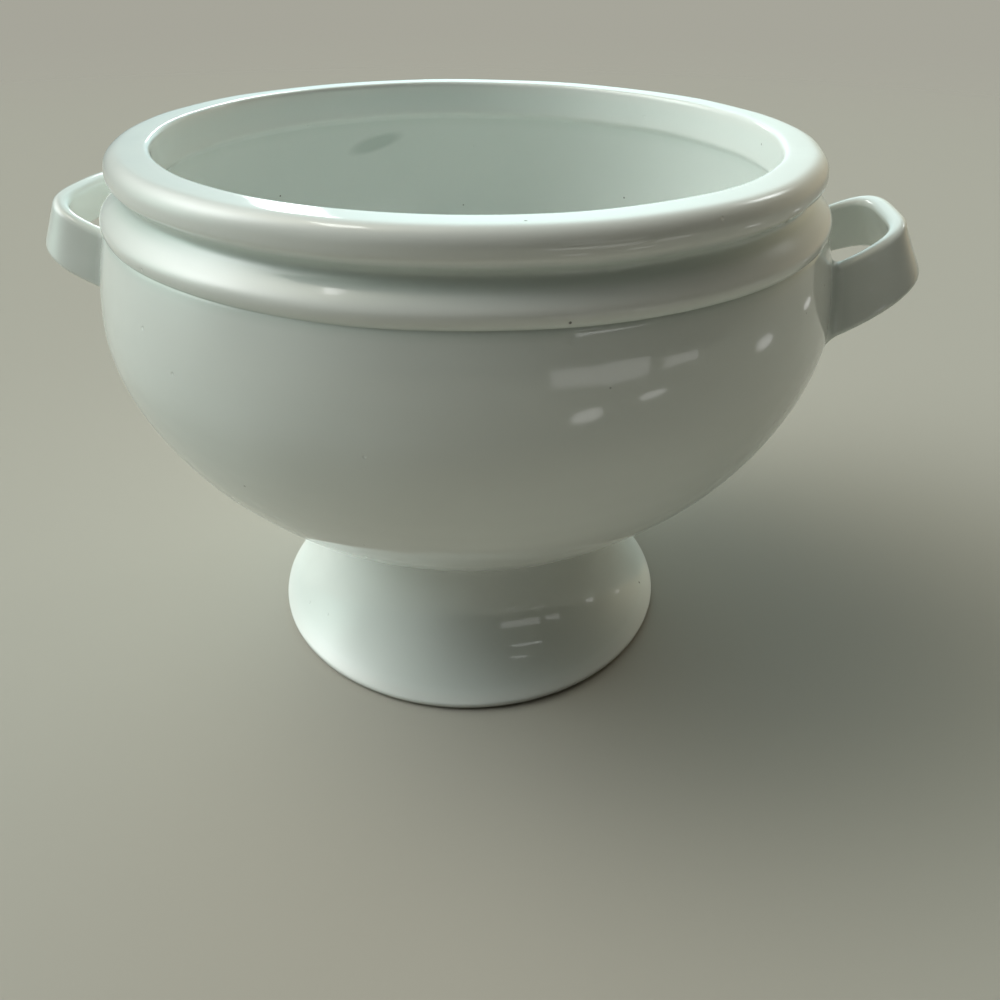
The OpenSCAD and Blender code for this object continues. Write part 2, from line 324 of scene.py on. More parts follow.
@dataclass(frozen=True)
class Bowl:
    """The thrown bowl: belly, crease, shoulder roll, groove, rolled rim, mouth and inside.

    Attributes:
        height: Height of the rim's top above the table.
        belly_r: Radius at the belly's widest line.
        seat_z: Height of the seat on the foot.
        rim_r: Radius of the rim's outer face.
        rim_land: Width of the rim, from its outer face to the mouth.
        rim_h: Height of the rim, from the groove's step to its top.
        rim_round: Radius of the rim's rounding outside.
        mouth_round: Radius of its rounding at the mouth.
        groove_depth: How far the groove goes in from the rim's face.
        groove_h: Height from the groove's deepest line up to the rim's face.
        shoulder_h: Height from the shoulder roll's widest line up to the groove's deepest line.
        shoulder_out: How far the shoulder roll stands out past the rim.
        tuck_h: Height of the roll's underside.
        crease_in: How far in from the roll the belly's top edge lies.
        crease_depth: How much further in the roll's underside starts.
        belly_z: Height of the belly's widest line.
        belly_depth: How far under that line the belly's lower curve would end.
        belly_power: The power p of that curve.
        belly_rise: Half the height of the ellipse that the belly's upper curve follows.
        wall: Thickness of the wall at the widest line.
        floor_t: Thickness of the floor.
        inner_power: The power p of the hollow's curve.
        mouth_band: Height of the straight band inside the mouth.
        band_step: How far the step under the band goes out.
        band_step_h: Height of that step.
    """

    height: float
    belly_r: float
    seat_z: float
    rim_r: float = 0.065
    rim_land: float = 0.0078
    rim_h: float = 0.0039
    rim_round: float = 0.0029
    mouth_round: float = 0.001
    groove_depth: float = 0.0023
    groove_h: float = 0.0029
    shoulder_h: float = 0.0046
    shoulder_out: float = 0.0018
    tuck_h: float = 0.0018
    crease_in: float = 0.00045
    crease_depth: float = 0.00035
    belly_z: float = 0.073
    belly_depth: float = 0.0554
    belly_power: float = 1.72
    belly_rise: float = 0.064
    wall: float = 0.0052
    floor_t: float = 0.006
    inner_power: float = 2.1
    mouth_band: float = 0.0073
    band_step: float = 0.0014
    band_step_h: float = 0.0022

    @classmethod
    def from_frame(cls) -> "Bowl":
        """Takes the bowl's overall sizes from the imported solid."""
        low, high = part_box("bowl_body")
        return cls(height=high.z, belly_r=high.x, seat_z=low.z)

    @property
    def inner_r(self) -> float:
        """Radius of the hollow at the belly's widest line."""
        return self.belly_r - self.wall

    @property
    def neck_r(self) -> float:
        """Radius of the seat, where the belly's curve reaches the foot."""
        fall = (self.belly_z - self.seat_z) / self.belly_depth
        return self.belly_r * (1 - fall**self.belly_power) ** (1 / self.belly_power)

    def wall_r(self, height: np.ndarray) -> np.ndarray:
        """The belly's outer radius at each height.

        Below the widest line, (r / R)^p + (fall / depth)^p = 1. Above it, the radius goes from R to the
        top edge's by (1 - cos t) / (1 - cos T), where sin t is the rise over belly_rise.

        Args:
            height: Heights above the table.

        Returns:
            The radii.
        """
        fall = np.clip((self.belly_z - height) / self.belly_depth, 0, 1)
        lower = self.belly_r * (1 - fall**self.belly_power) ** (1 / self.belly_power)
        crease_z = self.height - self.rim_h - self.groove_h - self.shoulder_h - self.tuck_h
        top_r = self.rim_r + self.shoulder_out - self.crease_in
        full = 1 - math.sqrt(1 - ((crease_z - self.belly_z) / self.belly_rise) ** 2)
        rise = np.clip((height - self.belly_z) / self.belly_rise, 0, 0.99)
        upper = self.belly_r + (top_r - self.belly_r) * (1 - np.sqrt(1 - rise**2)) / full
        return np.where(height < self.belly_z, lower, upper)

    def outline(self) -> Outline:
        """Strings the bowl's curves together.

        Belly, then a quarter ellipse under the shoulder, two soft steps out of and into the groove, a
        quarter circle over the rim, another into the mouth, a straight band with a soft step under it, a
        sine-shaped wall out to the hollow's full width, and the hollow's curve
        (r / R)^p + (fall / depth)^p = 1 down to its floor.

        Returns:
            The outline, from the middle of the seat to the middle of the floor.
        """
        groove = (self.rim_r - self.groove_depth, self.height - self.rim_h - self.groove_h)
        shoulder = (self.rim_r + self.shoulder_out, groove[1] - self.shoulder_h)
        crease_r = shoulder[0] - self.crease_in - self.crease_depth
        belly_z = np.linspace(self.seat_z, shoulder[1] - self.tuck_h, 400)
        mouth_r = self.rim_r - self.rim_land
        band = (mouth_r, self.height - self.mouth_band)
        step = (mouth_r + self.band_step, band[1] - self.band_step_h)
        rim = (self.rim_r - self.rim_round, self.height - self.rim_round)
        mouth = (mouth_r + self.mouth_round, self.height - self.mouth_round)
        share = np.linspace(0, 1, 60)
        wall_x = step[0] + (self.inner_r - step[0]) * np.sin(share * math.pi / 2)
        wall_z = step[1] + (self.belly_z - step[1]) * share
        turn = np.linspace(0, math.pi / 2, 300)[1:]
        depth = self.belly_z - (self.seat_z + self.floor_t)
        hollow_x = self.inner_r * np.clip(np.cos(turn), 0, 1) ** (2 / self.inner_power)
        hollow_z = self.belly_z - depth * np.sin(turn) ** (2 / self.inner_power)
        curves = [
            [(0, self.seat_z)],
            np.stack([self.wall_r(belly_z), belly_z], axis=-1),
            arc((crease_r, shoulder[1]), (shoulder[0] - crease_r, self.tuck_h), -90, 0, 24),
            swell(shoulder, groove, 40),
            swell(groove, (self.rim_r, self.height - self.rim_h), 30),
            arc(rim, (self.rim_round,) * 2, 0, 90, 30),
            arc(mouth, (self.mouth_round,) * 2, 90, 180, 24),
            swell(band, step, 24),
            np.stack([wall_x, wall_z], axis=-1),
            np.stack([hollow_x, hollow_z], axis=-1),
        ]
        return Outline(np.concatenate(curves))


@dataclass(frozen=True)
class Foot:
    """The hollow trumpet foot and the slip ring that joins it to the bowl.

    Attributes:
        height: Height of the foot's top.
        radius: Largest radius of the foot, just above the table.
        neck_r: Radius at the neck, under the bowl's seat.
        wall: Thickness of the wall at the neck.
        toe_h: Height of the rounding over the table.
        toe_tuck: How far that rounding goes in.
        ring_w: Width of the flat ring that it stands on.
        flare_turn: How far round its ellipse the trumpet's side goes, in degrees.
        roof_t: Thickness of the hollow's roof.
        slip: How far the slip ring reaches down the trumpet. It reaches half as far again up the bowl.
        run_on: How far its edges run on under the clay.
        flank: Height of the stretch of the belly on which its upper edge is looked for.
        blur: How far melted glaze rounds the foot's corners.
        spokes: How many points go round each ring.
    """

    height: float
    radius: float
    neck_r: float
    wall: float = 0.0056
    toe_h: float = 0.0014
    toe_tuck: float = 0.0011
    ring_w: float = 0.0032
    flare_turn: float = 62.0
    roof_t: float = 0.0034
    slip: float = 0.0034
    run_on: float = 0.0008
    flank: float = 0.02
    blur: float = 0.00028
    spokes: int = 288

    @classmethod
    def from_frame(cls, bowl: Bowl) -> "Foot":
        """Takes the foot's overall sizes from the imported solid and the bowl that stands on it."""
        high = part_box("pedestal_foot")[1]
        return cls(height=high.z, radius=high.x, neck_r=bowl.neck_r)

    def _trumpet(self, turn: np.ndarray) -> np.ndarray:
        """The trumpet's side: neck_r + w (1 - cos t), height - h sin t, for t in degrees."""
        full = math.radians(self.flare_turn)
        wide = (self.radius - self.neck_r) / (1 - math.cos(full))
        high = (self.height - self.toe_h) / math.sin(full)
        turn = np.radians(turn)
        return np.stack([self.neck_r + wide * (1 - np.cos(turn)), self.height - high * np.sin(turn)], axis=-1)

    def outline(self) -> Outline:
        """Strings the foot's curves together.

        The trumpet's elliptic arc, a quarter ellipse round the toe, the flat ring, and the hollow, which
        is the trumpet's arc again between its own top and foot radius, under a flat roof.

        Returns:
            The outline, from the middle of the top to the middle of the hollow's roof.
        """
        full = math.radians(self.flare_turn)
        toe_r = self.radius - self.toe_tuck
        ring_r = toe_r - self.ring_w
        roof_r = self.neck_r - self.wall
        turn = np.linspace(full, 0, 160)
        roof_z = self.height - self.roof_t
        hollow_r = roof_r + (ring_r - roof_r) * (1 - np.cos(turn)) / (1 - math.cos(full))
        hollow_z = roof_z * (1 - np.sin(turn) / math.sin(full))
        curves = [
            [(0, self.height)],
            self._trumpet(np.linspace(0, self.flare_turn, 160)),
            arc((toe_r, self.toe_h), (self.toe_tuck, self.toe_h), 0, -90, 20)[1:],
            np.stack([hollow_r, hollow_z], axis=-1),
            [(0, roof_z)],
        ]
        return Outline(np.concatenate(curves), blur=self.blur, spokes=self.spokes)

    def luting(self, bowl: Bowl) -> Surface:
        """The fillet of slip in the corner between the bowl's underside and the neck.

        Its face is a bent line, (1 - s)^2 A + 2 s (1 - s) B + s^2 C, from A on the bowl to C on the
        trumpet. B is where the tangents at A and C cross, so that the face leaves both surfaces without
        an edge. Past A and C it dips under the surface, and its back lies inside the clay.

        Args:
            bowl: The bowl that stands on the foot.

        Returns:
            The fillet as a hoop.
        """
        rise = np.linspace(self.height, self.height + self.flank, 400)
        belly = np.stack([bowl.wall_r(rise), rise], axis=-1)
        upper = np.linalg.norm(belly - belly[0], axis=1)
        side = self._trumpet(np.linspace(0, self.flare_turn, 400))
        lower = np.linalg.norm(side - side[0], axis=1)

        def beside(line: np.ndarray, away: np.ndarray, distance: float) -> np.ndarray:
            """The place on a line at a distance from the corner."""
            return np.array([np.interp(distance, away, line[:, k]) for k in range(2)])

        high_reach, low_reach = self.slip * 1.5, self.slip
        top, past_top = beside(belly, upper, high_reach), beside(belly, upper, high_reach + self.run_on)
        low, past_low = beside(side, lower, low_reach), beside(side, lower, low_reach + self.run_on)
        legs = np.stack([past_top - top, low - past_low], axis=1)
        corner = top + (past_top - top) * np.linalg.solve(legs, low - top)[0]
        share = np.linspace(0, 1, 22)[:, None]
        face = (1 - share) ** 2 * top + 2 * share * (1 - share) * corner + share**2 * low
        back_r, back_half_h = self.neck_r - 0.003, 0.0005
        inside = [(back_r, self.height - back_half_h), (back_r, self.height + back_half_h)]
        upper_edge, lower_edge = past_top + np.array([-SUNK / 2, SUNK]), past_low - np.array([SUNK, 0.0])
        line = np.concatenate([[upper_edge], face, [lower_edge], inside])
        angle = np.linspace(0, 2 * math.pi, self.spokes, endpoint=False)
        radius, height = line[:, 0, None], line[:, 1, None]
        level = np.broadcast_to(height, (len(line), self.spokes))
        points = np.stack([radius * np.cos(angle), radius * np.sin(angle), level], axis=-1)
        return Surface(points, pooled_face(share.ravel(), points.shape[:2], 0.75), hoop=True)


@dataclass(frozen=True)
class Handle:
    """A flat strap bent into a bow and luted to the belly at both ends.

    Attributes:
        side: Which side of the crock the handle is on.
        bowl: The bowl that carries it.
        reach: How far the strap's top edge stands out past the belly.
        span: Half the handle's span, to the middle of the strap.
        rise: Height of the strap's top edge over the belly's widest line, where the bow starts.
        strap_h: Height of the strap.
        flare: How far the strap's lower edge flares out past its top edge.
        tilt: How steeply the handle rises outwards, in degrees.
        thick: Thickness of the strap.
        edge_round: Radius of its rounded edges.
        bow_power: The power p of the bow's curve.
        slip: How far a fillet reaches from the corner, along the strap and over the belly.
        run_on: How far a fillet's edges run on under the clay.
        bury: How far the strap's ends go into the wall.
        dent: Depth of the deepest finger dent.
        dent_waves: The two waves of the dents, each as radians per metre along X, Y and Z.
        pool_reach: How far from the wall the strap's glaze pools.
    """

    side: Side
    bowl: Bowl
    reach: float
    span: float
    rise: float
    strap_h: float
    flare: float
    tilt: float
    thick: float = 0.0029
    edge_round: float = 0.00125
    bow_power: float = 3.5
    slip: float = 0.0021
    run_on: float = 0.0007
    bury: float = 0.0026
    dent: float = 0.00016
    dent_waves: tuple[tuple[float, float, float], ...] = ((90.0, 210.0, 160.0), (-170.0, 120.0, 260.0))
    pool_reach: float = 0.004

    @property
    def name(self) -> str:
        """The handle's side in small letters."""
        return self.side.name.lower()

    def _section(self) -> tuple[np.ndarray, np.ndarray]:
        """The strap's section: a rectangle with rounded edges.

        Each corner is a quarter circle, and each long face between two corners is cut in even steps.

        Returns:
            Points as (out from the middle, down from the top edge), and unit normals, shaped (n, 2).
        """
        half, r, high = self.thick / 2, self.edge_round, self.strap_h
        turn = np.radians(np.linspace(0, 90, 9))
        corners = [(half - r, r, 0), (half - r, high - r, 90), (r - half, high - r, 180), (r - half, r, 270)]
        points, normals = [], []
        for out, down, start in corners:
            way = turn + math.radians(start)
            normal = np.stack([np.sin(way), -np.cos(way)], axis=-1)
            points.append(np.array([out, down]) + r * normal)
            normals.append(normal)
            if start in (0, 180):
                target = high - r if start == 0 else r
                downs = np.linspace(down, target, 14)[1:-1]
                points.append(np.stack([np.full_like(downs, math.copysign(half, out)), downs], axis=-1))
                normals.append(np.broadcast_to(normal[-1], (len(downs), 2)))
        return np.concatenate(points), np.concatenate(normals)

    def _bow(self, steps: int = 300) -> np.ndarray:
        """The bow in plan, half of the curve |x / reach|^p + |y / span|^p = 1.

        The legs start inside the belly's wall, a little short of the hollow. Angles are taken closer
        together near the two ends, by 45 (1 - cos(180 s)) on each half.

        Args:
            steps: How many steps each half of the bow has.

        Returns:
            Rows of place x, place y, outward x and outward y.
        """
        half = np.linspace(0, 2, 2 * steps + 1)
        near = np.minimum(half, 2 - half)
        turn = math.pi / 4 * (1 - np.cos(math.pi * near))
        turn = np.where(half <= 1, turn, math.pi - turn)
        reach = self.bowl.wall + self.reach - self.thick / 2
        across = np.clip(np.abs(np.cos(turn)), 0, 1) ** (2 / self.bow_power)
        along = np.clip(np.sin(turn), 0, 1) ** (2 / self.bow_power)
        sign = np.where(turn > math.pi / 2, -1.0, 1.0)
        lean = np.stack([along ** (self.bow_power - 1) / reach, across ** (self.bow_power - 1) / self.span])
        lean /= np.linalg.norm(lean, axis=0)
        x, y = self.bowl.inner_r + reach * along, sign * self.span * across
        rows = np.stack([x, y, lean[0], sign * lean[1]], axis=-1)
        start = math.sqrt(self.bowl.belly_r**2 - self.span**2) - self.bury
        kept = rows[rows[:, 0] > start]
        first = np.array([[start, self.span, 0, 1]])
        last = np.array([[start, -self.span, 0, -1]])
        return np.concatenate([first, kept, last])

    def _place(self, bow: np.ndarray, section: np.ndarray) -> np.ndarray:
        """Sets the section square to the bow at each of its places.

        A section point stands out by its own distance plus flare * down / strap_h, and the whole handle
        is lifted by (x - inner_r) tan(tilt).

        Args:
            bow: Rows of the bow.
            section: The section's points.

        Returns:
            Places on the right side of the crock, shaped (bow, section, 3).
        """
        out = section[:, 0] + self.flare * section[:, 1] / self.strap_h
        x = bow[:, 0, None] + bow[:, 2, None] * out
        y = bow[:, 1, None] + bow[:, 3, None] * out
        top = self.bowl.belly_z + self.rise
        z = top - section[:, 1] + (x - self.bowl.inner_r) * math.tan(math.radians(self.tilt))
        return np.stack([x, y, z], axis=-1)

    def _gap(self, points: np.ndarray) -> np.ndarray:
        """How far outside the belly each place is, along X."""
        wall = self.bowl.wall_r(points[..., 2])
        return points[..., 0] - np.sqrt(np.maximum(wall**2 - points[..., 1] ** 2, 0))

    def _sided(self, points: np.ndarray) -> np.ndarray:
        """Carries places from the right side of the crock to the handle's own side."""
        return points * np.array([self.side.value, 1, 1])

    def _pressed(self, bow: np.ndarray, section: np.ndarray) -> np.ndarray:
        """Sets the section along the bow and presses soft finger dents into it.

        Each place moves towards the strap's middle line by dent * (1 - cos(k . p + side)) / 2, averaged
        over two slow waves k, where side is 1 or -1.

        Args:
            bow: Rows of the bow.
            section: The section's points.

        Returns:
            Places on the right side of the crock, shaped (bow, section, 3).
        """
        points = self._place(bow, section)
        inward = self._place(bow, np.array([[0.0, self.strap_h / 2]])) - points
        inward /= np.linalg.norm(inward, axis=-1, keepdims=True)
        turns = points @ np.array(self.dent_waves).T + self.side.value
        press = (1 - np.cos(turns)).mean(axis=-1) / 2
        return points + inward * (self.dent * press)[..., None]

    def strap(self) -> Surface:
        """The strap.

        The section follows the bow. Its glaze is thin on the rounded edges and pools towards the wall.

        Returns:
            The strap, closed by a pole at both ends inside the wall.
        """
        section, normal = self._section()
        points = self._pressed(self._bow(), section)
        edge = 1 - np.abs(normal[:, 0])
        root = np.clip(1 - self._gap(points) / self.pool_reach, 0, 1)
        return Surface(self._sided(points), np.clip(0.6 * root - 0.7 * edge, -1, 1))

    def _crossing(self, points: np.ndarray, gap: float) -> np.ndarray:
        """Where each line along the strap comes out of the belly's wall by a gap.

        The first step past the gap is found for every line at once, and the place is taken straight
        between that step and the one before.

        Args:
            points: Places along the strap, from inside the wall outwards.
            gap: Distance outside the wall.

        Returns:
            Places, one for each point of the section.
        """
        out = self._gap(points)
        after = np.maximum(np.argmax(out > gap, axis=0), 1)
        column = np.arange(points.shape[1])
        low, high = out[after - 1, column], out[after, column]
        share = ((gap - low) / np.maximum(high - low, TINY))[:, None]
        return points[after - 1, column] * (1 - share) + points[after, column] * share

    def root(self, end: End) -> Surface:
        """The slip fillet round one end of the strap.

        For each point of the section it is a bent line, (1 - s)^2 A + 2 s (1 - s) B + s^2 C, from A on
        the strap through the corner B to C on the belly. Both ends dip just under the surfaces, and
        four more rings carry the back of the fillet through the clay.

        Args:
            end: Which end of the strap.

        Returns:
            The fillet as a hoop.
        """
        section, normal = self._section()
        bow = self._bow()[:: end.value]
        bow = bow[: len(bow) // 2]
        points = self._pressed(bow, section)
        start = self._crossing(points, self.slip)
        past = self._crossing(self._pressed(bow, section - normal * SUNK), self.slip + self.run_on)
        corner = self._crossing(points, 0.0)
        middle = self._place(bow[:1], np.array([[0.0, self.strap_h / 2]]))[0]
        outward = normal * np.array([end.value, -1])

        def on_belly(away: float, sunk: float) -> np.ndarray:
            """Places on the belly beside the corner, at a distance away from the strap."""
            y, z = corner[:, 1] + outward[:, 0] * away, corner[:, 2] + outward[:, 1] * away
            return np.stack([np.sqrt(self.bowl.wall_r(z) ** 2 - y**2) - sunk, y, z], axis=-1)

        share = np.linspace(0, 1, 15)[:, None, None]
        reach = on_belly(self.slip, 0.0)
        face = (1 - share) ** 2 * start + 2 * share * (1 - share) * corner + share**2 * reach
        inward = (middle - start) * np.array([0, 1, 1])
        inward /= np.linalg.norm(inward, axis=-1, keepdims=True)
        skim, deep, behind, in_strap, in_edge = 0.00003, 0.0014, 0.0012, 0.0006, 0.0005
        back = [
            on_belly(self.slip + self.run_on, skim),
            on_belly(self.slip * 0.5, deep),
            corner + inward * in_strap - np.array([behind, 0, 0]),
            start + inward * in_edge,
        ]
        loop = np.concatenate([[past], face, back])
        return Surface(self._sided(loop), pooled_face(share.ravel(), loop.shape[:2], 0.6), hoop=True)


class Number:
    """A number that varies over a surface: an output socket whose arithmetic adds Math nodes."""

    def __init__(self, shader: "Shader", socket: bpy.types.NodeSocket) -> None:
        """Wraps a socket of a shader."""
        self.shader = shader
        self.socket = socket

    def _math(self, operation: str, *values: Any, clamp: bool = False) -> "Number":
        """Adds one Math node.

        Args:
            operation: The node's operation.
            *values: Its inputs, numbers or Number.
            clamp: Whether the result is kept from 0 to 1.

        Returns:
            The node's result.
        """
        settings = {"operation": operation, "use_clamp": clamp}
        made = self.shader.node("ShaderNodeMath", settings, dict(enumerate(values)))
        return Number(self.shader, made.outputs[0])

    def __add__(self, other: Any) -> "Number":
        """Sum."""
        return self._math("ADD", self, other)

    __radd__ = __add__

    def __sub__(self, other: Any) -> "Number":
        """Difference."""
        return self._math("SUBTRACT", self, other)

    def __rsub__(self, other: Any) -> "Number":
        """Reflected difference."""
        return self._math("SUBTRACT", other, self)

    def __mul__(self, other: Any) -> "Number":
        """Product."""
        return self._math("MULTIPLY", self, other)

    __rmul__ = __mul__

    def __truediv__(self, other: Any) -> "Number":
        """Quotient."""
        return self._math("DIVIDE", self, other)

    def __pow__(self, other: Any) -> "Number":
        """Power."""
        return self._math("POWER", self, other)

    def __neg__(self) -> "Number":
        """Opposite."""
        return self._math("MULTIPLY", self, -1.0)

    def sine(self) -> "Number":
        """Sine of a number in radians."""
        return self._math("SINE", self)

    def clipped(self) -> "Number":
        """The number kept from 0 to 1."""
        return self._math("ADD", self, 0.0, clamp=True)

    def step(self, low: float, high: float) -> "Number":
        """Goes smoothly from 0 at low to 1 at high, by 3 s^2 - 2 s^3."""
        share = ((self - low) / (high - low)).clipped()
        return share * share * (3 - 2 * share)


class Shader:
    """The node tree of one material, or of the world."""

    def __init__(self, owner: bpy.types.Material | bpy.types.World, coordinates: str = "Object") -> None:
        """Starts with an empty tree.

        Args:
            owner: The material or world whose tree this is.
            coordinates: Which coordinates its patterns use.
        """
        self.owner = owner
        owner.use_nodes = True
        self.tree = owner.node_tree
        self.tree.nodes.clear()
        self.place = self.node("ShaderNodeTexCoord").outputs[coordinates]

    def node(
        self,
        kind: str,
        settings: dict[str, Any] | None = None,
        inputs: dict[Any, Any] | None = None,
    ) -> Any:
        """Adds one node.

        Args:
            kind: The node's type.
            settings: Its own settings, set before its sockets.
            inputs: Values or links for its sockets, by name or number.

        Returns:
            The node.
        """
        made = self.tree.nodes.new(kind)
        for key, value in (settings or {}).items():
            setattr(made, key, value)
        for key, value in (inputs or {}).items():
            socket = made.inputs[key]
            value = value.socket if isinstance(value, Number) else value
            if isinstance(value, bpy.types.NodeSocket):
                self.tree.links.new(value, socket)
            else:
                socket.default_value = value
        return made

    def noise(self, size: float, detail: float = 2.0, rough: float = 0.5, place: Any = None) -> Number:
        """Cloudy noise about 0.5, whose lumps are about size metres apart."""
        inputs = {"Vector": place or self.place, "Scale": 1 / size, "Detail": detail, "Roughness": rough}
        return Number(self, self.node("ShaderNodeTexNoise", {}, inputs).outputs[0])

    def stretched(self, scale: Sequence[float]) -> bpy.types.NodeSocket:
        """The surface's place with each axis multiplied, for a pattern drawn out along one of them."""
        return self.node("ShaderNodeMapping", {}, {"Vector": self.place, "Scale": scale}).outputs[0]

    def axes(self) -> tuple[Number, Number, Number]:
        """The surface's place as three numbers."""
        split = self.node("ShaderNodeSeparateXYZ", {}, {0: self.place})
        return tuple(Number(self, split.outputs[k]) for k in range(3))

    def attribute(self, name: str) -> Number:
        """A number that the mesh carries at its points."""
        made = self.node("ShaderNodeAttribute", {"attribute_name": name, "attribute_type": "GEOMETRY"})
        return Number(self, made.outputs["Fac"])

    def along(self, direction: Vector) -> Number:
        """How far the place lies along a direction."""
        made = self.node("ShaderNodeVectorMath", {"operation": "DOT_PRODUCT"}, {0: self.place, 1: direction})
        return Number(self, made.outputs["Value"])

    def distance(self, centre: Sequence[float]) -> Number:
        """Distance from a point."""
        made = self.node("ShaderNodeVectorMath", {"operation": "DISTANCE"}, {0: self.place, 1: centre})
        return Number(self, made.outputs["Value"])

    def mix(self, share: Any, first: Any, second: Any) -> bpy.types.NodeSocket:
        """Mixes two colours, first at share 0 and second at share 1."""
        inputs = {MIX_SHARE: share, MIX_FIRST: first, MIX_SECOND: second}
        return self.node("ShaderNodeMix", {"data_type": "RGBA"}, inputs).outputs[MIX_RESULT]

    def spots(self, size: float, share: float, radius: float, seed: Sequence[float]) -> Number:
        """Sparse round spots: 1 in a spot's middle and 0 outside it.

        Space is cut into cells about size wide. A share of the cells, by their random colour, holds
        one spot, and a point's distance from the cell's seed point gives the spot.

        Args:
            size: Width of a cell.
            share: The share of cells with a spot.
            radius: The spot's radius.
            seed: A shift of the whole pattern.

        Returns:
            The mask.
        """
        place = self.node("ShaderNodeMapping", {}, {"Vector": self.place, "Location": seed}).outputs[0]
        cells = self.node("ShaderNodeTexVoronoi", {}, {"Vector": place, "Scale": 1 / size})
        parts = self.node("ShaderNodeSeparateColor", {}, {0: cells.outputs["Color"]})
        chance = Number(self, parts.outputs[0])
        near = 1 - Number(self, cells.outputs["Distance"]).step(0.35 * radius / size, radius / size)
        return near * (1 - chance.step(share - 0.002, share + 0.002))

    def oval(self, centre: Vector, long_way: Vector, long: float, broad: float) -> Number:
        """Distance from an oval's middle, 1 on its edge.

        Args:
            centre: The oval's middle.
            long_way: Direction of its long axis.
            long: Half its length.
            broad: Half its width, which also counts inwards through the wall.

        Returns:
            The distance.
        """
        away = self.node("ShaderNodeVectorMath", {"operation": "SUBTRACT"}, {0: self.place, 1: centre})
        ends = {0: away.outputs[0], 1: long_way.normalized()}
        lengthwise = self.node("ShaderNodeVectorMath", {"operation": "DOT_PRODUCT"}, ends)
        whole = self.node("ShaderNodeVectorMath", {"operation": "LENGTH"}, {0: away.outputs[0]})
        along = Number(self, lengthwise.outputs["Value"])
        total = Number(self, whole.outputs["Value"])
        side = (total * total - along * along) / broad**2
        return (side + along * along / long**2) ** 0.5

    def bump(self, height: Number, distance: float, before: Any = None) -> bpy.types.NodeSocket:
        """Adds one Bump node and returns its Normal.

        Args:
            height: The height, in shares of distance.
            distance: Height of a step of 1, in metres.
            before: The Normal of a bump under this one.

        Returns:
            The Normal socket.
        """
        inputs = {"Height": height, "Distance": distance, "Strength": 1.0}
        if before is not None:
            inputs["Normal"] = before
        return self.node("ShaderNodeBump", {}, inputs).outputs[0]

    def finished(self, inputs: dict[str, Any], gone: Number | None = None) -> bpy.types.Material:
        """Closes a material's tree with a Principled shader.

        Args:
            inputs: The shader's sockets.
            gone: How far the surface has faded away, if it fades.

        Returns:
            The material.
        """
        surface = self.node("ShaderNodeBsdfPrincipled", {}, inputs).outputs[0]
        if gone is not None:
            clear = self.node("ShaderNodeBsdfTransparent").outputs[0]
            surface = self.node("ShaderNodeMixShader", {}, {0: gone, 1: surface, 2: clear}).outputs[0]
        self.node("ShaderNodeOutputMaterial", {}, {"Surface": surface})
        return self.owner


